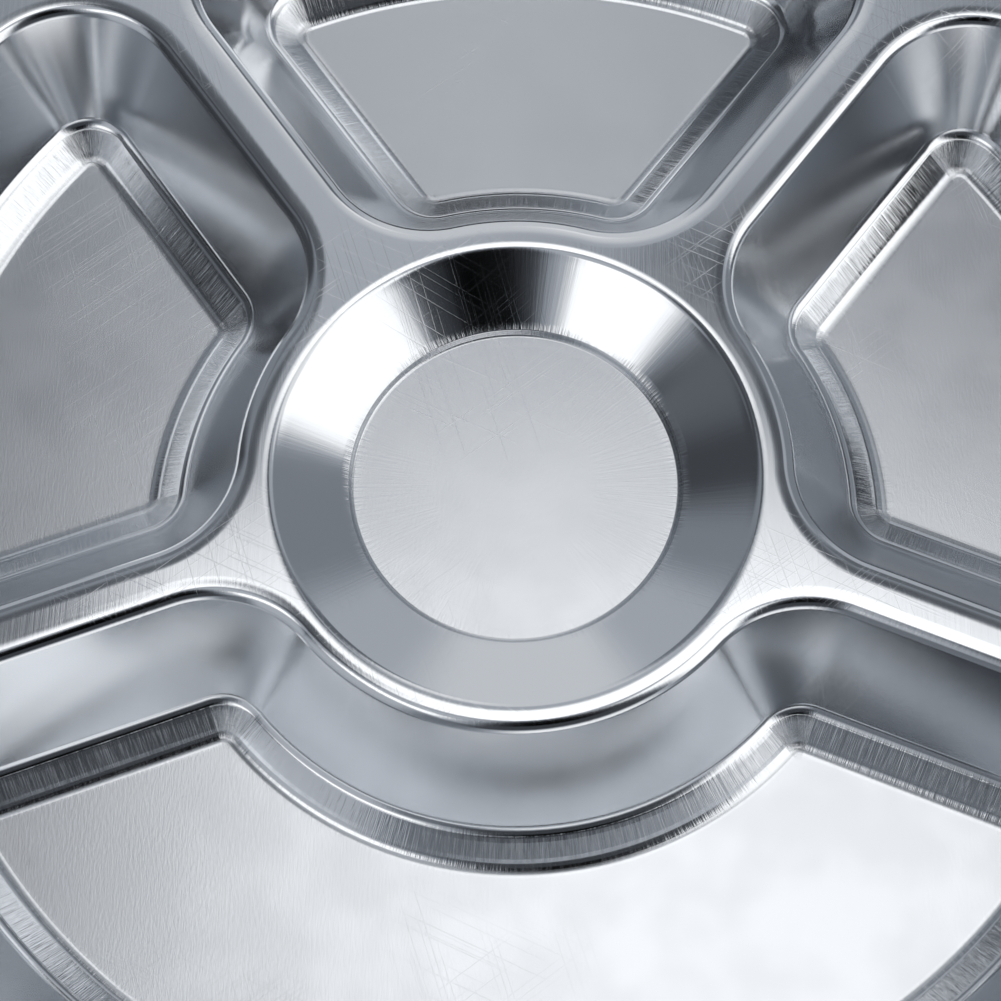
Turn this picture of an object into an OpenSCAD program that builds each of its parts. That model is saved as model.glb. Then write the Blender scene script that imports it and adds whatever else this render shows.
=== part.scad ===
// Round dinner plate with five compartments, pressed from one sheet of stainless steel.
// The origin is at the bottom centre, on the surface that the plate stands on.
// +Z is up, and the widest compartment lies to the front, towards -Y.
//
// Every compartment is drawn from the same section: a fold at the flat land, a drafted
// wall, a narrow ledge where the second draw began, a sloping step and a fillet to the floor.
// The sheet is kept as its formed zones, which meet face to face along the folds.

/* [Sheet] */
// Thickness of the steel sheet
sheet_t = 0.6; // [0.5:0.05:0.8]
// Diameter over the rolled rim
plate_d = 280; // [276:1:300]
// Depth of the outer compartments below the land
well_depth = 25.9; // [24:0.1:28]

/* [Ribs between the compartments] */
// Width of the land between the front compartment and its neighbours
front_rib_w = 6.5; // [5:0.1:9]
// How far the middle of a front rib passes behind the plate's centre
front_rib_shift = 1.75; // [0:0.05:3]
// Angle of the front ribs below the X axis
front_rib_angle = 20.8; // [16:0.2:24]
// Width of the land between the back compartment and its neighbours
back_rib_w = 6.9; // [5:0.1:9]
// How far the middle of a back rib passes behind the plate's centre
back_rib_shift = 0.6; // [0:0.05:2]
// Angle of the back ribs above the X axis
back_rib_angle = 53.4; // [50:0.2:56]

/* [Outer compartments] */
// Width of the land between the centre compartment and the front one
front_hub_w = 2.3; // [1.8:0.1:4]
// Width of the land between the centre compartment and the side and back ones
side_hub_w = 3.5; // [2:0.1:5]
// Width of the flat land from the outer compartments to the rolled rim
flange_w = 4.4; // [3:0.1:6]
// Radius of the floor's corners
floor_corner_r = 1.3; // [1:0.1:3]

/* [Wall section] */
// Radius of the fold from the land to the wall
top_fold_r = 2.6; // [1.5:0.1:3]
// Slope of the wall
wall_angle = 60; // [58:1:64]
// Slope of the ledge at the foot of the wall
ledge_angle = 20; // [12:1:28]
// Radius of the hollow where the wall meets the ledge
ledge_hollow_r = 3.3; // [2.5:0.1:4]
// Radius of the ledge's rounded edge
ledge_edge_r = 1.4; // [1:0.1:1.8]
// Slope of the step below the ledge
step_angle = 38; // [34:1:42]
// Depth from the foot of the wall, over the ledge and down the step, to the floor
step_depth = 5.4; // [5:0.1:6]
// Radius of the fillet between the step and the floor
floor_fillet_r = 3.8; // [3:0.1:4.5]

/* [Centre compartment] */
// Diameter of the centre compartment at the land
centre_d = 88.6; // [86:0.2:90]
// Depth of the centre compartment below the land
centre_depth = 8; // [7:0.1:9]
// Radius of its rounded lip
lip_r = 3; // [2:0.1:4]
// Diameter of the edge where the cone drops to the floor
centre_step_d = 60.8; // [58:0.2:62]
// Height of that drop
centre_step_h = 1.17; // [1:0.05:2]
// Slope of the drop at that edge
centre_step_angle = 62; // [55:1:70]
// Radius of that edge
centre_edge_r = 0.8; // [0.7:0.05:0.9]
// Radius of the fillet at its floor
centre_fillet_r = 0.7; // [0.5:0.05:0.8]

/* [Rolled rim] */
// Diameter of the roll
roll_d = 4; // [3.6:0.1:4.6]
// How far round the edge of the sheet is rolled
roll_turn = 300; // [270:5:310]

/* [Fineness] */
// Number of steps round each bend in the section
bend_steps = 4; // [3:1:8]
// How far the straight steps of the land's edges and of the roll may stray from their true arcs
chord_gap = 0.02; // [0.01:0.005:0.05]

/* [Hidden] */
$fn = 64;

// The walls between the corners are drawn this much thinner on each face, and reach this far
// into the corners, so that every seam is seated in solid metal.
seam_skin = 0.02;
seam_lap = 0.1;

// Height of the land's upper face above the table
top_z = well_depth + sheet_t;
// Radius of the circle that the roll's middle follows
roll_r = roll_d / 2;
roll_c_r = plate_d / 2 - roll_r;
// Radius of the outer compartments' outer edge at the land
outer_r = roll_c_r - flange_w;

// Radius of the outer compartments' inner edges at the land
front_inner_r = centre_d / 2 + front_hub_w;
side_inner_r = centre_d / 2 + side_hub_w;

// Distance of each compartment's edge from the radial line along its rib
front_rib_near = front_rib_w / 2 - front_rib_shift;
front_rib_far = front_rib_w / 2 + front_rib_shift;
back_rib_near = back_rib_w / 2 - back_rib_shift;
back_rib_far = back_rib_w / 2 + back_rib_shift;

// A point on the sheet's upper face is [run, height], and slopes fall as the run grows.
function down(a) = [cos(a), -sin(a)];
function up(a) = [sin(a), cos(a)];
// Where a bend of radius r ends that starts at p and turns the slope from a to b
function after_fold(p, r, a, b) = p - r * up(a) + r * up(b);
function after_hollow(p, r, a, b) = p + r * up(a) - r * up(b);
// Where a straight run at slope a from p reaches the height z
function fall_to(p, a, z) = p + down(a) * (p[1] - z) / sin(a);

// Joints of the outer compartments' section, from the land to the floor
wall_top = after_fold([0, top_z], top_fold_r, 0, wall_angle);
wall_foot = fall_to(wall_top, wall_angle, sheet_t + step_depth);
ledge_in = after_hollow(wall_foot, ledge_hollow_r, wall_angle, ledge_angle);
step_top = after_fold(ledge_in, ledge_edge_r, ledge_angle, step_angle);
fillet_rise = floor_fillet_r * (1 - cos(step_angle));
step_foot = fall_to(step_top, step_angle, sheet_t + fillet_rise);
floor_edge = after_hollow(step_foot, floor_fillet_r, step_angle, 0);
// Run of the whole wall, from the land to the flat floor
wall_run = floor_edge[0];
// Width of the flat strip of floor that is turned with the wall
floor_strip = floor_corner_r / 2;
// Radius of a compartment's corner at the land: every corner keeps one centre all the way down
corner_r = floor_corner_r + wall_run;

// The cone's foot, as [run, height], and the middle of the lip's bend, from which the cone
// leaves at the slope that makes it meet its foot
cone_foot = [(centre_d - centre_step_d) / 2, top_z - centre_depth + centre_step_h];
lip_to_foot = cone_foot - [0, top_z - lip_r];
cone_angle = asin(lip_r / norm(lip_to_foot)) - atan2(lip_to_foot[1], lip_to_foot[0]);

// The other joints of the centre compartment's section, down to its floor
drop_top = after_fold(cone_foot, centre_edge_r, cone_angle, centre_step_angle);
centre_floor_z = top_z - centre_depth;
centre_fillet_rise = centre_fillet_r * (1 - cos(centre_step_angle));
drop_foot = fall_to(drop_top, centre_step_angle, centre_floor_z + centre_fillet_rise);
centre_floor_edge = after_hollow(drop_foot, centre_fillet_r, centre_step_angle, 0);

// Points round a bend in the sheet over an edge, from slope a to the steeper slope b.
// The depth d is 0 on the sheet's upper face and sheet_t on its underside.
function fold(p, r, a, b, d) =
    [for (i = [0:bend_steps]) p - r * up(a) + (r - d) * up(a + (b - a) * i / bend_steps)];
// Points round a bend in the sheet in a hollow, from slope a to the gentler slope b
function hollow(p, r, a, b, d) =
    [for (i = [0:bend_steps]) p + r * up(a) - (r + d) * up(a + (b - a) * i / bend_steps)];

// One face of the sheet down the wall of an outer compartment
function wall_face(d) = concat(
    fold([0, top_z], top_fold_r, 0, wall_angle, d),
    hollow(wall_foot, ledge_hollow_r, wall_angle, ledge_angle, d),
    fold(ledge_in, ledge_edge_r, ledge_angle, step_angle, d),
    hollow(step_foot, floor_fillet_r, step_angle, 0, d),
    [[wall_run + floor_strip, sheet_t - d]]
);

// One face of the sheet from the land to the middle of the centre compartment, as [run, height]
function centre_face(d) = concat(
    fold([0, top_z], lip_r, 0, cone_angle, d),
    fold(cone_foot, centre_edge_r, cone_angle, centre_step_angle, d),
    hollow(drop_foot, centre_fillet_r, centre_step_angle, 0, d),
    [[centre_d / 2, centre_floor_z - d]]
);

function reversed(v) = [for (i = [len(v) - 1:-1:0]) v[i]];

// The sheet's section down the wall of an outer compartment, with each face drawn in by skin
module wall_section(skin) {
    polygon(concat(wall_face(skin), reversed(wall_face(sheet_t - skin))));
}

// The sheet's section from the land to the middle of the centre compartment, beside its axis
module centre_section() {
    faces = concat(centre_face(0), reversed(centre_face(sheet_t)));
    polygon([for (p = faces) [centre_d / 2 - p[0], p[1]]]);
}

function polar(r, a) = r * [cos(a), sin(a)];
// Points along an arc of radius r about p, from direction a to b, in even steps whose chords
// stay within gap of the arc. The first and the last point lie skip steps in from the ends.
function arc(p, r, a, b, gap, skip) = let (steps = ceil(abs(b - a) / acos(1 - gap / r) / 2))
    [for (i = [skip:steps - skip]) p + polar(r, a + (b - a) * i / steps)];

// Directions of the four ribs, anticlockwise from the right front one
rib_rf = -front_rib_angle;
rib_rb = back_rib_angle;
rib_lb = 180 - back_rib_angle;
rib_lf = 180 + front_rib_angle;

// Plan of each outer compartment: the direction of the rib that it starts at, the distance of its
// edge from that radial line, the same two for the rib that it ends at, and its inner radius.
// Compartments run anticlockwise.
front_plan = [rib_lf, front_rib_near, rib_rf + 360, front_rib_near, front_inner_r];
back_plan = [rib_rb, back_rib_far, rib_lb, back_rib_far, side_inner_r];
left_plan = [rib_lb, back_rib_near, rib_lf, front_rib_far, side_inner_r];
right_plan = [rib_rf, front_rib_far, rib_rb, back_rib_near, side_inner_r];

// Distance from the plate's centre to the centres of a compartment's inner and outer corners
function inner_reach(plan) = plan[4] + corner_r;
outer_reach = outer_r - corner_r;
// Turn from a rib's direction to the centre of a corner that lies reach away
function corner_turn(near, reach) = asin((near + corner_r) / reach);
// Directions of a plan's four corner centres: the inner and outer one where it starts,
// then the inner and outer one where it ends
function corner_dirs(plan) = [
    plan[0] + corner_turn(plan[1], inner_reach(plan)),
    plan[0] + corner_turn(plan[1], outer_reach),
    plan[2] - corner_turn(plan[3], inner_reach(plan)),
    plan[2] - corner_turn(plan[3], outer_reach)
];
// Length of the straight side along a rib, between its two corners
function side_length(near, plan) =
    outer_reach * cos(corner_turn(near, outer_reach))
    - inner_reach(plan) * cos(corner_turn(near, inner_reach(plan)));

// Centres of a plan's four corners, in the same order
function corner_centres(plan) = let (dirs = corner_dirs(plan)) [
    polar(inner_reach(plan), dirs[0]),
    polar(outer_reach, dirs[1]),
    polar(inner_reach(plan), dirs[2]),
    polar(outer_reach, dirs[3])
];

// Points round a compartment at the given run from the land. The corners' arcs start skip steps
// in from their ends, and the long arcs between them the rest of one step.
function outline(plan, run, gap, skip) = let (
    dirs = corner_dirs(plan),
    centres = corner_centres(plan)
) concat(
    arc([0, 0], plan[4] + run, dirs[2], dirs[0], gap, 1 - skip),
    arc(centres[0], corner_r - run, dirs[0] + 180, plan[0] + 270, gap, skip),
    arc(centres[1], corner_r - run, plan[0] - 90, dirs[1], gap, skip),
    arc([0, 0], outer_r - run, dirs[1], dirs[3], gap, 1 - skip),
    arc(centres[3], corner_r - run, dirs[3], plan[2] + 90, gap, skip),
    arc(centres[2], corner_r - run, plan[2] + 90, dirs[2] + 180, gap, skip)
);

// Wall turned about a corner's centre p, from direction a to b
module corner_wall(p, a, b) {
    translate(p) rotate(a) rotate_extrude(angle = b - a)
        translate([corner_r, 0]) mirror([1, 0]) wall_section(0);
}

// Straight wall of length l that starts at p, with its run in direction a.
// It reaches into the corners at both ends.
module side_wall(p, a, l) {
    translate(p) rotate(a) rotate([90, 0, 0])
        translate([0, 0, -seam_lap]) linear_extrude(l + 2 * seam_lap) wall_section(seam_skin);
}

// Wall along an arc about the plate's centre, from direction a to b, that reaches into the corners
module arc_wall(r, a, b) {
    lap = seam_lap / (r * PI) * 180;
    rotate(a - lap) rotate_extrude(angle = b - a + 2 * lap) translate([r, 0]) children();
}

// One outer compartment: its wall all round, and its floor
module well(plan) {
    dirs = corner_dirs(plan);
    centres = corner_centres(plan);
    corner_wall(centres[0], dirs[0] + 180, plan[0] + 270);
    corner_wall(centres[1], plan[0] - 90, dirs[1]);
    corner_wall(centres[3], dirs[3], plan[2] + 90);
    corner_wall(centres[2], plan[2] + 90, dirs[2] + 180);
    side_wall(centres[0] + polar(corner_r, plan[0] - 90), plan[0] + 90, side_length(plan[1], plan));
    side_wall(centres[3] + polar(corner_r, plan[2] + 90), plan[2] - 90, side_length(plan[3], plan));
    arc_wall(plan[4], dirs[0], dirs[2]) wall_section(seam_skin);
    arc_wall(outer_r, dirs[1], dirs[3]) mirror([1, 0]) wall_section(seam_skin);
    // The floor ends half way across the flat strip that is turned with the wall, and none of
    // its points lies on a seam.
    linear_extrude(sheet_t)
        polygon(outline(plan, wall_run + floor_strip / 2, floor_strip / 4, 0.5));
}

// Opening in the land for one outer compartment
module well_hole(plan) {
    translate([0, 0, top_z - 2 * sheet_t]) linear_extrude(3 * sheet_t)
        polygon(outline(plan, 0, chord_gap, 0));
}

module centre_well() {
    color("silver") rotate_extrude() centre_section();
}

module front_well() {
    color("silver") well(front_plan);
}

module back_well() {
    color("silver") well(back_plan);
}

module left_well() {
    color("silver") well(left_plan);
}

module right_well() {
    color("silver") well(right_plan);
}

// The flat web of ribs round the compartments, out to the roll
module divider_land() {
    color("silver") difference() {
        translate([0, 0, top_z - sheet_t]) cylinder(r = roll_c_r, h = sheet_t);
        translate([0, 0, top_z - 2 * sheet_t]) cylinder(d = centre_d, h = 3 * sheet_t);
        for (plan = [front_plan, back_plan, left_plan, right_plan]) well_hole(plan);
    }
}

// The sheet's edge, rolled outwards and under into an open tube
module rolled_rim() {
    color("silver") rotate_extrude() translate([roll_c_r, top_z - roll_r]) polygon(concat(
        arc([0, 0], roll_r, 90, 90 - roll_turn, chord_gap, 0),
        arc([0, 0], roll_r - sheet_t, 90 - roll_turn, 90, chord_gap, 0)
    ));
}

centre_well();
front_well();
back_well();
left_well();
right_well();
divider_land();
rolled_rim();
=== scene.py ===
import math
import bpy
from mathutils import Matrix, Vector
from mathutils.geometry import delaunay_2d_cdt


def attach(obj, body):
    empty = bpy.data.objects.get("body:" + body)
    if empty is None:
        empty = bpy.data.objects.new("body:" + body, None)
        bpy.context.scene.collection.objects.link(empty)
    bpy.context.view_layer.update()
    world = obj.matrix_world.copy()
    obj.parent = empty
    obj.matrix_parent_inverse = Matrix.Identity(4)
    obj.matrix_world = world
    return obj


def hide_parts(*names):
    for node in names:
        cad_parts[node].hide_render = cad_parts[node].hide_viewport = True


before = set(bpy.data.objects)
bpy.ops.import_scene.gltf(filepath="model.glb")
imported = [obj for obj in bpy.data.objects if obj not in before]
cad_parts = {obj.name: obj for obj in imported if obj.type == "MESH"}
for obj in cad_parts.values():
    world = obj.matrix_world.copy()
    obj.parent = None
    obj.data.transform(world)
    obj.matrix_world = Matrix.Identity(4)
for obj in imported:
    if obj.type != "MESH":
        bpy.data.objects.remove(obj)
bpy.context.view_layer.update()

MM = 0.001

# Sizes of the plate in millimetres and degrees, the same as in the part's source.
SHEET_T = 0.6
PLATE_D = 280.0
WELL_DEPTH = 25.9
FRONT_RIB_W, FRONT_RIB_SHIFT, FRONT_RIB_ANGLE = 6.5, 1.75, 20.8
BACK_RIB_W, BACK_RIB_SHIFT, BACK_RIB_ANGLE = 6.9, 0.6, 53.4
FRONT_HUB_W, SIDE_HUB_W = 2.3, 3.5
FLANGE_W = 4.4
FLOOR_CORNER_R = 1.3
TOP_FOLD_R, WALL_ANGLE = 2.6, 60.0
LEDGE_ANGLE, LEDGE_HOLLOW_R, LEDGE_EDGE_R = 20.0, 3.3, 1.4
STEP_ANGLE, STEP_DEPTH = 38.0, 5.4
FLOOR_FILLET_R = 3.8
CENTRE_D, CENTRE_DEPTH, LIP_R = 88.6, 8.0, 3.0
CENTRE_STEP_D, CENTRE_STEP_H, CENTRE_STEP_ANGLE = 60.8, 1.17, 62.0
CENTRE_EDGE_R, CENTRE_FILLET_R = 0.8, 0.7
ROLL_D, ROLL_TURN = 4.0, 300.0

TOP_Z = WELL_DEPTH + SHEET_T
ROLL_R = ROLL_D / 2
ROLL_C_R = PLATE_D / 2 - ROLL_R
OUTER_R = ROLL_C_R - FLANGE_W
FRONT_INNER_R = CENTRE_D / 2 + FRONT_HUB_W
SIDE_INNER_R = CENTRE_D / 2 + SIDE_HUB_W

# Longest step along an outline, the widest turn of one step, and the gap that counts as none
PITCH, STEP_TURN, SAME_POINT = 2.4, 2.5, 0.01
# Steps round the rim and round the land's outer edge, and across the roll
RIM_STEPS, LAND_STEPS, ROLL_STEPS = 288, 240, 30
# The last stations of a compartment's section, that lie on its flat floor
FLOOR_STATIONS = (0.2, 0.45, 0.8)
DISH_FLOOR_STATIONS = (0.06, 0.2, 0.5)
# Where on the sheet's UV map a flat floor lies, past the end of the section
FLOOR_UV = 50.0

# The sheet starts to lean this many degrees before it folds, over this width on each side.
SHOULDER_LEAN, SHOULDER_W, LIP_SHOULDER_W = 6.0, 2.0, 0.9
# A shoulder takes up no more than this share of the land there is beside the dish.
SHOULDER_SHARE = 0.55


def polar(r, a, c=(0.0, 0.0)):
    a = math.radians(a)
    return c[0] + r * math.cos(a), c[1] + r * math.sin(a)


def bend(p, r, a, b, steps, side):
    """Stations (run, height, slope) round a bend from slope a to b: side 1 over an edge, -1 in a hollow."""
    out = []
    for i in range(steps + 1):
        s = a + (b - a) * i / steps
        dx = math.sin(math.radians(s)) - math.sin(math.radians(a))
        dz = math.cos(math.radians(s)) - math.cos(math.radians(a))
        out.append((p[0] + side * r * dx, p[1] + side * r * dz, s))
    return out


def fall(p, a, z):
    """Where a straight run at slope a from p reaches the height z."""
    return p[0] + (p[1] - z) / math.tan(math.radians(a)), z


def between(p, q, n):
    """The n - 1 stations that divide the straight run from p to q."""
    return [tuple(p[k] + (q[k] - p[k]) * i / n for k in (0, 1)) + (p[2],) for i in range(1, n)]


def stations(parts):
    """
    Adds to each station its length along the section and its finish: "draw" is how deep the drawing
    scratches are there, and "satin" how matt the sheet still is.
    """
    out, length, last = [], 0.0, None
    for draw, satin, pts in parts:
        for p in pts:
            if last is not None:
                length += math.hypot(p[0] - last[0], p[1] - last[1])
                if length - out[-1][3] < 1e-6:
                    continue
            out.append((p[0], p[1], p[2], length, draw, satin))
            last = p
    return out


def well_section():
    fold = bend((0, TOP_Z), TOP_FOLD_R, 0, WALL_ANGLE, 12, 1)
    foot = fall(fold[-1], WALL_ANGLE, SHEET_T + STEP_DEPTH)
    hollow = bend(foot, LEDGE_HOLLOW_R, WALL_ANGLE, LEDGE_ANGLE, 8, -1)
    edge = bend(hollow[-1], LEDGE_EDGE_R, LEDGE_ANGLE, STEP_ANGLE, 5, 1)
    rise = FLOOR_FILLET_R * (1 - math.cos(math.radians(STEP_ANGLE)))
    fillet = bend(fall(edge[-1], STEP_ANGLE, SHEET_T + rise), FLOOR_FILLET_R, STEP_ANGLE, 0, 12, -1)
    run = fillet[-1][0]
    floor = [(run + FLOOR_CORNER_R * k, SHEET_T, 0.0) for k in FLOOR_STATIONS]
    return stations([
        (0.0, 0.0, fold[:8]),
        (0.0, 0.3, fold[8:]),
        (0.0, 0.5, between(fold[-1], hollow[0], 10)),
        (0.1, 0.2, hollow),
        (0.6, 0.0, edge),
        (1.0, 0.0, between(edge[-1], fillet[0], 6)),
        (0.5, 0.2, fillet[:7]),
        (0.1, 0.8, fillet[7:]),
        (0.0, 1.0, floor),
    ])


def centre_section():
    foot = ((CENTRE_D - CENTRE_STEP_D) / 2, TOP_Z - CENTRE_DEPTH + CENTRE_STEP_H)
    dx, dz = foot[0], foot[1] - (TOP_Z - LIP_R)
    cone = math.degrees(math.asin(LIP_R / math.hypot(dx, dz)) - math.atan2(dz, dx))
    lip = bend((0, TOP_Z), LIP_R, 0, cone, 10, 1)
    edge = bend(foot, CENTRE_EDGE_R, cone, CENTRE_STEP_ANGLE, 6, 1)
    floor_z = TOP_Z - CENTRE_DEPTH
    rise = CENTRE_FILLET_R * (1 - math.cos(math.radians(CENTRE_STEP_ANGLE)))
    drop = fall(edge[-1], CENTRE_STEP_ANGLE, floor_z + rise)
    fillet = bend(drop, CENTRE_FILLET_R, CENTRE_STEP_ANGLE, 0, 8, -1)
    run = fillet[-1][0]
    floor = [(run + (CENTRE_D / 2 - run) * k, floor_z, 0.0) for k in DISH_FLOOR_STATIONS]
    return stations([
        (0.0, 0.0, lip),
        (0.0, 0.0, between(lip[-1], edge[0], 10)),
        (0.7, 0.2, edge),
        (0.7, 0.4, fillet[:5]),
        (0.2, 0.8, fillet[5:]),
        (0.0, 1.0, floor),
    ])


WELL = well_section()
WALL_RUN = WELL[-1 - len(FLOOR_STATIONS)][0]
CORNER_R = FLOOR_CORNER_R + WALL_RUN

# Each compartment's plan: the rib direction that it starts at, its distance from that radial
# line, the same two at its end, and its inner radius. Compartments run anticlockwise.
FRONT_NEAR, FRONT_FAR = FRONT_RIB_W / 2 - FRONT_RIB_SHIFT, FRONT_RIB_W / 2 + FRONT_RIB_SHIFT
BACK_NEAR, BACK_FAR = BACK_RIB_W / 2 - BACK_RIB_SHIFT, BACK_RIB_W / 2 + BACK_RIB_SHIFT
RIB_RF, RIB_RB = -FRONT_RIB_ANGLE, BACK_RIB_ANGLE
RIB_LB, RIB_LF = 180 - BACK_RIB_ANGLE, 180 + FRONT_RIB_ANGLE
PLANS = {
    "front_well": (RIB_LF, FRONT_NEAR, RIB_RF + 360, FRONT_NEAR, FRONT_INNER_R),
    "back_well": (RIB_RB, BACK_FAR, RIB_LB, BACK_FAR, SIDE_INNER_R),
    "left_well": (RIB_LB, BACK_NEAR, RIB_LF, FRONT_FAR, SIDE_INNER_R),
    "right_well": (RIB_RF, FRONT_FAR, RIB_RB, BACK_NEAR, SIDE_INNER_R),
}


def round_arc(centre, r, a, b, sign):
    """Points (x, y, inward x, inward y) along an arc."""
    turn = abs(b - a)
    n = max(2, math.ceil(math.radians(turn) * r / PITCH), math.ceil(turn / STEP_TURN))
    out = []
    for i in range(n + 1):
        t = a + (b - a) * i / n
        u = polar(1, t)
        out.append(polar(r, t, centre) + (sign * u[0], sign * u[1]))
    return out


def outline(plan):
    """Points (x, y, inward x, inward y) round a compartment at the land, anticlockwise."""
    start, near_s, end, near_e, inner = plan
    reach_in, reach_out = inner + CORNER_R, OUTER_R - CORNER_R

    def turn(near, reach):
        return math.degrees(math.asin((near + CORNER_R) / reach))

    d = (start + turn(near_s, reach_in), start + turn(near_s, reach_out),
         end - turn(near_e, reach_in), end - turn(near_e, reach_out))
    c = [polar(r, a) for r, a in zip((reach_in, reach_out, reach_in, reach_out), d)]
    parts = [
        round_arc(c[0], CORNER_R, d[0] + 180, start + 270, -1),
        round_arc(c[1], CORNER_R, start - 90, d[1], -1),
        round_arc((0, 0), OUTER_R, d[1], d[3], -1),
        round_arc(c[3], CORNER_R, d[3], end + 90, -1),
        round_arc(c[2], CORNER_R, end + 90, d[2] + 180, -1),
        round_arc((0, 0), inner, d[2], d[0], 1),
    ]
    pts = []
    for part in parts:
        if pts:
            p, q = pts[-1], part[0]
            gap = math.dist(p[:2], q[:2])
            if gap < SAME_POINT:
                pts.pop()
            else:
                n = math.ceil(gap / PITCH)
                pts += [tuple(p[k] + (q[k] - p[k]) * i / n for k in (0, 1)) + p[2:] for i in range(1, n)]
        pts += part
    pts.pop()
    return pts


def make_mesh(name, verts, faces, normals, uvs, finish):
    """An object: faces hold vertex numbers, and normals, uvs and finish one entry for each corner."""
    mesh = bpy.data.meshes.new(name)
    mesh.from_pydata([tuple(v * MM for v in p) for p in verts], [], faces)
    mesh.polygons.foreach_set("use_smooth", [True] * len(faces))
    layer = mesh.uv_layers.new(name="sheet")
    layer.data.foreach_set("uv", [v for uv in uvs for v in uv])
    colour = mesh.color_attributes.new("finish", "FLOAT_COLOR", "CORNER")
    colour.data.foreach_set("color", [v for f in finish for v in (f[0], f[1], 0.0, 1.0)])
    mesh.update()
    mesh.normals_split_custom_set(normals)
    obj = bpy.data.objects.new(name, mesh)
    bpy.context.scene.collection.objects.link(obj)
    return obj


class Skin:
    """Collects the faces of one sheet: its upper side, its underside and its edges."""

    def __init__(self):
        self.verts, self.faces, self.normals, self.uvs, self.finish = [], [], [], [], []

    def vert(self, p):
        self.verts.append(p)
        return len(self.verts) - 1

    def face(self, idx, normals, uvs, finish):
        self.faces.append(idx)
        self.normals += normals
        self.uvs += uvs
        self.finish += finish

    def build(self, name):
        return make_mesh(name, self.verts, self.faces, self.normals, self.uvs, self.finish)


def compartment(name, loop, section):
    """The sheet of one compartment: the section carried round the loop, and a flat floor."""
    skin = Skin()
    n = len(loop)
    length = [0.0]
    for j in range(n):
        length.append(length[-1] + math.dist(loop[j][:2], loop[(j + 1) % n][:2]))
    top, low, nrm = [], [], []
    for run, z, slope, along, draw, satin in section:
        s, c = math.sin(math.radians(slope)), math.cos(math.radians(slope))
        lean = math.radians(slope + SHOULDER_LEAN * max(0.0, 1 - along / SHOULDER_W))
        trow, lrow, nrow = [], [], []
        for x, y, ix, iy in loop:
            px, py = x + ix * run, y + iy * run
            normal = (ix * s, iy * s, c)
            nrow.append((ix * math.sin(lean), iy * math.sin(lean), math.cos(lean)))
            trow.append(skin.vert((px, py, z)))
            lrow.append(skin.vert(tuple(v - SHEET_T * k for v, k in zip((px, py, z), normal))))
        top.append(trow)
        low.append(lrow)
        nrm.append(nrow)

    def flip(v):
        return tuple(-k for k in v)

    for i in range(len(section) - 1):
        for j in range(n):
            k = (j + 1) % n
            corners = ((i, j), (i, k), (i + 1, k), (i + 1, j))
            uv = [(length[j + 1 if b == k else j], section[a][3]) for a, b in corners]
            fin = [section[a][4:] for a, b in corners]
            ns = [nrm[a][b] for a, b in corners]
            skin.face([top[a][b] for a, b in corners], ns, uv, fin)
            skin.face([low[a][b] for a, b in reversed(corners)], [flip(v) for v in reversed(ns)],
                      list(reversed(uv)), list(reversed(fin)))
    for j in range(n):
        k = (j + 1) % n
        mid = (-loop[j][2], -loop[j][3], 0.0)
        skin.face([top[0][k], top[0][j], low[0][j], low[0][k]], [mid] * 4,
                  [(length[j + 1], 0), (length[j], 0), (length[j], 0), (length[j + 1], 0)], [(0, 0)] * 4)
    end = section[-1]
    flat = [(0.0, end[3] + FLOOR_UV)] * n
    skin.face(list(top[-1]), [(0, 0, 1)] * n, flat, [end[4:]] * n)
    skin.face(list(reversed(low[-1])), [(0, 0, -1)] * n, flat, [end[4:]] * n)
    return skin.build(name)


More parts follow.
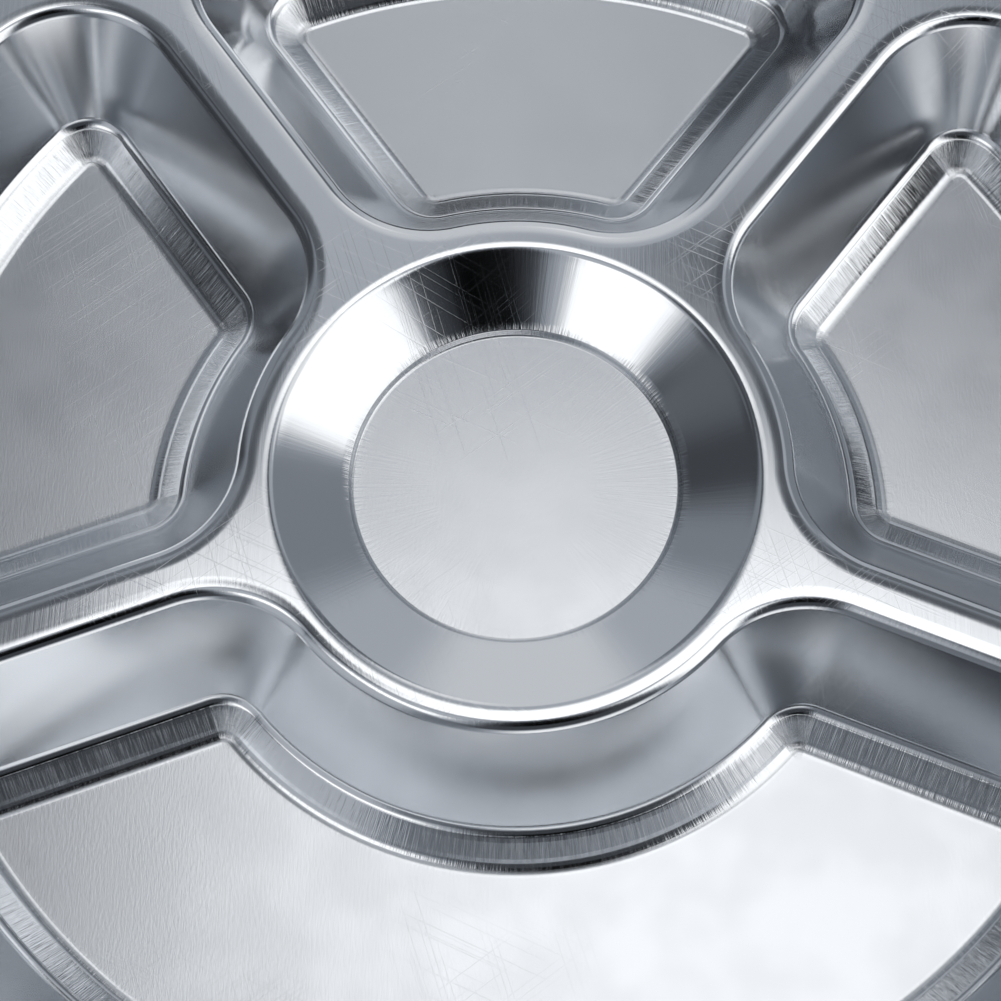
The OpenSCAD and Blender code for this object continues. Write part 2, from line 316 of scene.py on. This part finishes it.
def land(loops):
    """The flat web between the compartments, out to the roll."""
    skin = Skin()
    flat, edges, ring_of, normals = [], [], [], []
    lean = math.radians(SHOULDER_LEAN)
    outside = [polar(ROLL_C_R, 360 * i / LAND_STEPS) + (0.0, 0.0) for i in range(LAND_STEPS)]
    shoulders = []
    for loop in loops:
        ring = []
        for x, y, ix, iy in loop:
            room = math.hypot(x, y) - CENTRE_D / 2
            width = min(SHOULDER_W, room * SHOULDER_SHARE) if loop is not loops[-1] else LIP_SHOULDER_W
            ring.append((x - ix * width, y - iy * width, 0.0, 0.0))
        shoulders.append(ring)
    for number, ring in enumerate([outside] + loops + shoulders):
        base = len(flat)
        flat += [Vector(p[:2]) for p in ring]
        k = math.sin(lean) if 1 <= number <= len(loops) else 0.0
        normals += [(p[2] * k, p[3] * k, math.sqrt(1 - k * k)) for p in ring]
        ring_of += [number] * len(ring)
        edges += [(base + i, base + (i + 1) % len(ring)) for i in range(len(ring))]
    points, _, tris, source, _, _ = delaunay_2d_cdt(flat, edges, [], 1, 1e-5)
    top = [skin.vert((p[0], p[1], TOP_Z)) for p in points]
    low = [skin.vert((p[0], p[1], TOP_Z - SHEET_T)) for p in points]
    count = {}

    def turn_of(t):
        p = [points[i] for i in t]
        return sum(p[i][0] * p[(i + 1) % 3][1] - p[(i + 1) % 3][0] * p[i][1] for i in range(3))

    for t in tris:
        # A triangle that spans an opening has its corners on that opening's ring, in its order.
        order = sorted(t, key=lambda i: source[i][0])
        same = {ring_of[source[i][0]] for i in t}
        if len(same) == 1 and 1 <= min(same) <= len(loops) and turn_of(order) > 0:
            continue
        t = list(t) if turn_of(t) > 0 else list(reversed(t))
        uv = [(points[i][0], points[i][1]) for i in t]
        skin.face([top[i] for i in t], [normals[source[i][0]] for i in t], uv, [(0, 0)] * 3)
        skin.face([low[i] for i in reversed(t)], [(0, 0, -1)] * 3, list(reversed(uv)), [(0, 0)] * 3)
        for i in range(3):
            count[(t[i], t[(i + 1) % 3])] = 1
    for a, b in count:
        if (b, a) not in count:
            pa, pb = points[a], points[b]
            d = Vector((pb[1] - pa[1], pa[0] - pb[0], 0)).normalized()
            skin.face([top[b], top[a], low[a], low[b]], [tuple(d)] * 4,
                      [tuple(pb), tuple(pa), tuple(pa), tuple(pb)], [(0, 0)] * 4)
    return skin.build("land_sheet")


def rim():
    """The rolled edge: the sheet turned outwards and under, with its cut end left open."""
    skin = Skin()
    around, across = RIM_STEPS, ROLL_STEPS
    rings = []
    for r, sign in ((ROLL_R, 1), (ROLL_R - SHEET_T, -1)):
        ring = []
        for i in range(across + 1):
            a = 90 - ROLL_TURN * i / across
            u = polar(1, a)
            along = math.radians(90 - a) * ROLL_R
            ring.append((ROLL_C_R + r * u[0], TOP_Z - ROLL_R + r * u[1], sign * u[0], sign * u[1], along))
        rings.append(ring)
    index = []
    for ring in rings:
        grid = []
        for i, (x, z, _, _, _) in enumerate(ring):
            grid.append([skin.vert(polar(x, 360 * j / around) + (z,)) for j in range(around)])
        index.append(grid)

    def quad(corners, kind):
        idx, ns, uv = [], [], []
        for g, i, j in corners:
            _, _, nx, nz, along = rings[g][i]
            if kind is not None:
                nx, nz = kind
            u = polar(1, 360 * j / around)
            idx.append(index[g][i][j % around])
            ns.append((u[0] * nx, u[1] * nx, nz))
            uv.append((2 * math.pi * ROLL_C_R * j / around, along))
        skin.face(idx, ns, uv, [(0.0, 0.0)] * 4)

    tip = polar(1, 90 - ROLL_TURN - 90)
    for j in range(around):
        for i in range(across):
            quad(((0, i, j), (0, i + 1, j), (0, i + 1, j + 1), (0, i, j + 1)), None)
            quad(((1, i, j), (1, i, j + 1), (1, i + 1, j + 1), (1, i + 1, j)), None)
        quad(((0, 0, j), (0, 0, j + 1), (1, 0, j + 1), (1, 0, j)), (-1, 0))
        quad(((0, across, j), (1, across, j), (1, across, j + 1), (0, across, j + 1)), tip)
    return skin.build("rim_roll")


def new_material(name):
    mat = bpy.data.materials.new(name)
    mat.use_nodes = True
    mat.node_tree.nodes.clear()
    return mat


class Nodes:
    """Short calls for building a node tree."""

    def __init__(self, tree):
        self.tree = tree

    def add(self, kind, inputs=None, **props):
        node = self.tree.nodes.new(kind)
        for key, value in props.items():
            setattr(node, key, value)
        for key, value in (inputs or {}).items():
            if isinstance(value, bpy.types.NodeSocket):
                self.tree.links.new(value, node.inputs[key])
            else:
                node.inputs[key].default_value = value
        return node

    def math(self, op, a, b=0.0, c=0.0, clamp=False):
        return self.add("ShaderNodeMath", {0: a, 1: b, 2: c}, operation=op, use_clamp=clamp).outputs[0]

    def dot(self, a, b):
        return self.add("ShaderNodeVectorMath", {0: a, 1: b}, operation="DOT_PRODUCT").outputs["Value"]

    def ramp(self, value, a, b, c=0.0, d=1.0, smooth=True):
        kind = "SMOOTHSTEP" if smooth else "LINEAR"
        inputs = {0: value, 1: a, 2: b, 3: c, 4: d}
        return self.add("ShaderNodeMapRange", inputs, interpolation_type=kind).outputs[0]

    def scale(self, vector, v):
        return self.add("ShaderNodeMapping", {"Vector": vector, "Scale": v}).outputs[0]

    def turn(self, vector, deg):
        rotation = (0, 0, math.radians(deg))
        return self.add("ShaderNodeMapping", {"Vector": vector, "Rotation": rotation}).outputs[0]

    def noise(self, vector, scale, detail=2.0, rough=0.5):
        inputs = {"Vector": vector, "Scale": scale, "Detail": detail, "Roughness": rough}
        return self.add("ShaderNodeTexNoise", inputs, noise_dimensions="2D").outputs["Fac"]


def steel(name, colour):
    mat = new_material(name)
    n = Nodes(mat.node_tree)
    uv = n.add("ShaderNodeUVMap", uv_map="sheet").outputs[0]
    here = n.add("ShaderNodeTexCoord").outputs["Object"]
    mm = n.scale(here, (1000, 1000, 1000))
    zone = n.add("ShaderNodeAttribute", attribute_name="finish").outputs["Color"]
    finish = n.add("ShaderNodeSeparateColor", {0: zone})
    draw, satin = finish.outputs[0], finish.outputs[1]

    # Scratches from drawing run down the wall: fine along the outline, long down the section.
    fine = n.noise(n.scale(uv, (5.0, 0.16, 1)), 1.0, 1.0, 0.6)
    broad = n.noise(n.scale(uv, (1.3, 0.05, 1)), 1.0, 1.0, 0.5)
    # The rolled grain of the floors, smudges of a few centimetres and the sheet's slow waves
    grain = n.noise(n.scale(mm, (2.2, 0.5, 1)), 1.0, 2.0, 0.7)
    smudge = n.noise(mm, 0.06, 2.0, 0.55)
    cloud = n.noise(mm, 0.02, 1.0, 0.5)

    # Long fine scratches from use, in three directions (degrees, scratches to a millimetre)
    lines = [n.ramp(n.noise(n.scale(n.turn(mm, deg), (0.018, count, 1)), 1.0, 0.0, 0.5), 0.74, 0.8)
             for deg, count in ((24, 2.6), (-38, 3.4), (71, 3.0))]
    hair = n.math("MAXIMUM", n.math("MAXIMUM", lines[0], lines[1]), lines[2])
    hair = n.math("MULTIPLY", hair, n.ramp(cloud, 0.45, 0.65))

    rough_polish = n.ramp(smudge, 0.3, 0.7, 0.09, 0.12)
    rough_satin = n.ramp(smudge, 0.3, 0.7, 0.22, 0.25)
    plain = n.add("ShaderNodeMix", {0: satin, 2: rough_polish, 3: rough_satin}, data_type="FLOAT").outputs[0]
    scratch = n.math("MULTIPLY", draw, n.ramp(fine, 0.35, 0.75, 0.0, 0.14))
    rough = n.math("ADD", n.math("ADD", plain, scratch), n.math("MULTIPLY", hair, 0.03))

    # Heights in units of the bump's distance. A trace of the drawing marks is left everywhere.
    depth = n.math("ADD", n.math("MULTIPLY", draw, 0.45), 0.03)
    h_draw = n.math("MULTIPLY", depth, n.math("ADD", fine, n.math("MULTIPLY", broad, 1.5)))
    h_grain = n.math("MULTIPLY", satin, n.math("MULTIPLY", grain, 0.1))
    wave = n.math("MULTIPLY", cloud, 2.0)
    height = n.math("ADD", n.math("ADD", h_draw, h_grain), n.math("ADD", wave, n.math("MULTIPLY", hair, 0.04)))
    bump = n.add("ShaderNodeBump", {"Height": height, "Distance": 0.00006, "Strength": 1.0}).outputs[0]
    bsdf = n.add("ShaderNodeBsdfPrincipled", {
        "Base Color": colour, "Metallic": 1.0, "Roughness": rough, "Normal": bump})
    out = n.add("ShaderNodeOutputMaterial")
    mat.node_tree.links.new(bsdf.outputs[0], out.inputs[0])
    return mat


STEEL = steel("pressed_steel", (0.69, 0.71, 0.735, 1))

loops = {name: outline(plan) for name, plan in PLANS.items()}
centre_loop = round_arc((0, 0), CENTRE_D / 2, 0, 360, -1)[:-1]
pieces = {name: compartment(name.replace("well", "compartment"), loop, WELL) for name, loop in loops.items()}
pieces["centre_well"] = compartment("centre_compartment", centre_loop, centre_section())
pieces["divider_land"] = land(list(loops.values()) + [centre_loop])
pieces["rolled_rim"] = rim()
for node, piece in pieces.items():
    piece.data.materials.append(STEEL)
    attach(piece, "root")
    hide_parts(node)

# The surface that the plate stands on
floor_mat = new_material("pale_floor")
fn = Nodes(floor_mat.node_tree)
spot = fn.noise(fn.add("ShaderNodeTexCoord").outputs["Object"], 6.0, 3.0)
tones = {0: fn.ramp(spot, 0.3, 0.7), 6: (0.80, 0.80, 0.81, 1), 7: (0.84, 0.84, 0.85, 1)}
tint = fn.add("ShaderNodeMix", tones, data_type="RGBA").outputs[2]
base = fn.add("ShaderNodeBsdfPrincipled", {"Base Color": tint, "Roughness": 0.6})
floor_mat.node_tree.links.new(base.outputs[0], fn.add("ShaderNodeOutputMaterial").inputs[0])
bpy.ops.mesh.primitive_plane_add(size=6.0)
floor = bpy.context.object
floor.name = "table"
floor.data.materials.append(floor_mat)

# The studio is painted on the world by direction. Azimuth 0 is +X and 90 is the back. Heights are
# angles off the zenith. Both are in degrees. BASE_LIGHT is the room between the panels.
BASE_LIGHT = 0.45
world = bpy.data.worlds.new("studio")
bpy.context.scene.world = world
world.use_nodes = True
world.node_tree.nodes.clear()
w = Nodes(world.node_tree)
direction = w.add("ShaderNodeTexCoord").outputs["Generated"]
level = w.add("ShaderNodeVectorMath", {0: direction, 1: (1, 1, 0)}, operation="MULTIPLY").outputs[0]
level = w.add("ShaderNodeVectorMath", {0: level}, operation="NORMALIZE").outputs[0]
off_zenith = w.math("ARCCOSINE", w.dot(direction, (0, 0, 1)))


def panel(light, azimuth, width, near, far, soft_side, soft_end, value):
    """Paints a soft-edged panel, between two angles off the zenith, over what is there so far."""
    a, half, edge, end = (math.radians(v) for v in (azimuth, width / 2, soft_side / 2, soft_end / 2))
    aside = w.math("ARCCOSINE", w.dot(level, (math.cos(a), math.sin(a), 0)))
    mask = w.ramp(aside, half - edge, half + edge, 1.0, 0.0)
    if near > 0:
        n = math.radians(near)
        mask = w.math("MULTIPLY", mask, w.ramp(off_zenith, n - end, n + end))
    if far < 90:
        f = math.radians(far)
        mask = w.math("MULTIPLY", mask, w.ramp(off_zenith, f - end, f + end, 1.0, 0.0))
    return w.add("ShaderNodeMix", {0: mask, 2: light, 3: value}, data_type="FLOAT").outputs[0]


PANELS = (
    # azimuth, width, near, far, soft side, soft end, value
    (90, 44, 32, 90, 14, 8, 0.74),
    (69, 20, 32, 60, 12, 8, 0.15),
    (66, 24, 60, 90, 12, 8, 0.5),
    (120, 24, 32, 60, 12, 8, 0.2),
    (122, 24, 60, 90, 12, 8, 0.5),
    (141, 24, 30, 90, 12, 8, 0.27),
    (82, 14, 38, 50, 8, 6, 1.0),
    (166, 38, 14, 90, 14, 6, 0.07),
    (190, 20, 40, 90, 12, 8, 0.05),
    (176, 26, 36, 49, 10, 6, 0.15),
    (226, 44, 8, 76, 14, 8, 0.55),
    (223, 42, 26, 41, 10, 6, 1.6),
    (250, 22, 48, 90, 10, 8, 0.2),
    (287, 62, 4, 63, 12, 6, 0.06),
    (284, 36, 12, 38, 16, 8, 0.0),
    (290, 42, 70, 90, 14, 6, 1.2),
    (350, 56, 15, 70, 12, 8, 1.5),
    (352, 66, 70, 90, 14, 8, 0.14),
    (18, 30, 20, 40, 10, 8, 1.0),
    (38, 34, 46, 90, 12, 8, 0.26),
    (116, 22, 22, 30, 8, 4, 0.12),
    (101, 14, 25, 31, 6, 5, 0.55),
    (84, 18, 25, 31, 8, 5, 0.5),
    (81, 12, 24, 27, 6, 3, 0.05),
    (63, 24, 22, 31, 8, 5, 0.1),
    (90, 120, 0, 21, 20, 6, 1.6),
    (141, 44, 13, 30, 10, 6, 0.1),
)
light = BASE_LIGHT
for values in PANELS:
    light = panel(light, *values)
# The dim parts of the room are a little cooler than the bright ones.
tones = {0: w.ramp(light, 0, 1.1), 6: (0.91, 1, 1.13, 1), 7: (1, 1, 1, 1)}
cool = w.add("ShaderNodeMix", tones, data_type="RGBA").outputs[2]
back = w.add("ShaderNodeBackground", {"Color": cool, "Strength": light})
seen = w.add("ShaderNodeBackground", {"Color": (1, 1, 1, 1), "Strength": 1.0})
path = w.add("ShaderNodeLightPath")
mixed = w.add("ShaderNodeMixShader", {0: path.outputs["Is Camera Ray"], 1: back.outputs[0], 2: seen.outputs[0]})
world.node_tree.links.new(mixed.outputs[0], w.add("ShaderNodeOutputWorld").inputs[0])

# The camera, from the perspective measured in the photograph
CAMERA_EL, CAMERA_AZ, CAMERA_ROLL = 69.22, 3.96, -2.82
CAMERA_DISTANCE = 497.3
CAMERA_TARGET = (-2.42, -6.10, TOP_Z)
FOCAL_PX, IMAGE_PX, SENSOR_MM = 2802.1, 1001, 36.0
e, a, r = (math.radians(v) for v in (CAMERA_EL, CAMERA_AZ, CAMERA_ROLL))
behind = Vector((math.sin(a) * math.cos(e), -math.cos(a) * math.cos(e), math.sin(e)))
right = Vector((math.cos(a), math.sin(a), 0))
upward = behind.cross(right)
side = math.cos(r) * right + math.sin(r) * upward
head = math.cos(r) * upward - math.sin(r) * right
cam = bpy.data.cameras.new("camera")
cam.sensor_width = SENSOR_MM
cam.lens = FOCAL_PX / IMAGE_PX * SENSOR_MM
cam_obj = bpy.data.objects.new("camera", cam)
bpy.context.scene.collection.objects.link(cam_obj)
place = (Vector(CAMERA_TARGET) + behind * CAMERA_DISTANCE) * MM
cam_obj.matrix_world = Matrix([(side[k], head[k], behind[k], place[k]) for k in range(3)] + [(0, 0, 0, 1)])
bpy.context.scene.camera = cam_obj
bpy.context.scene.view_settings.view_transform = "Standard"
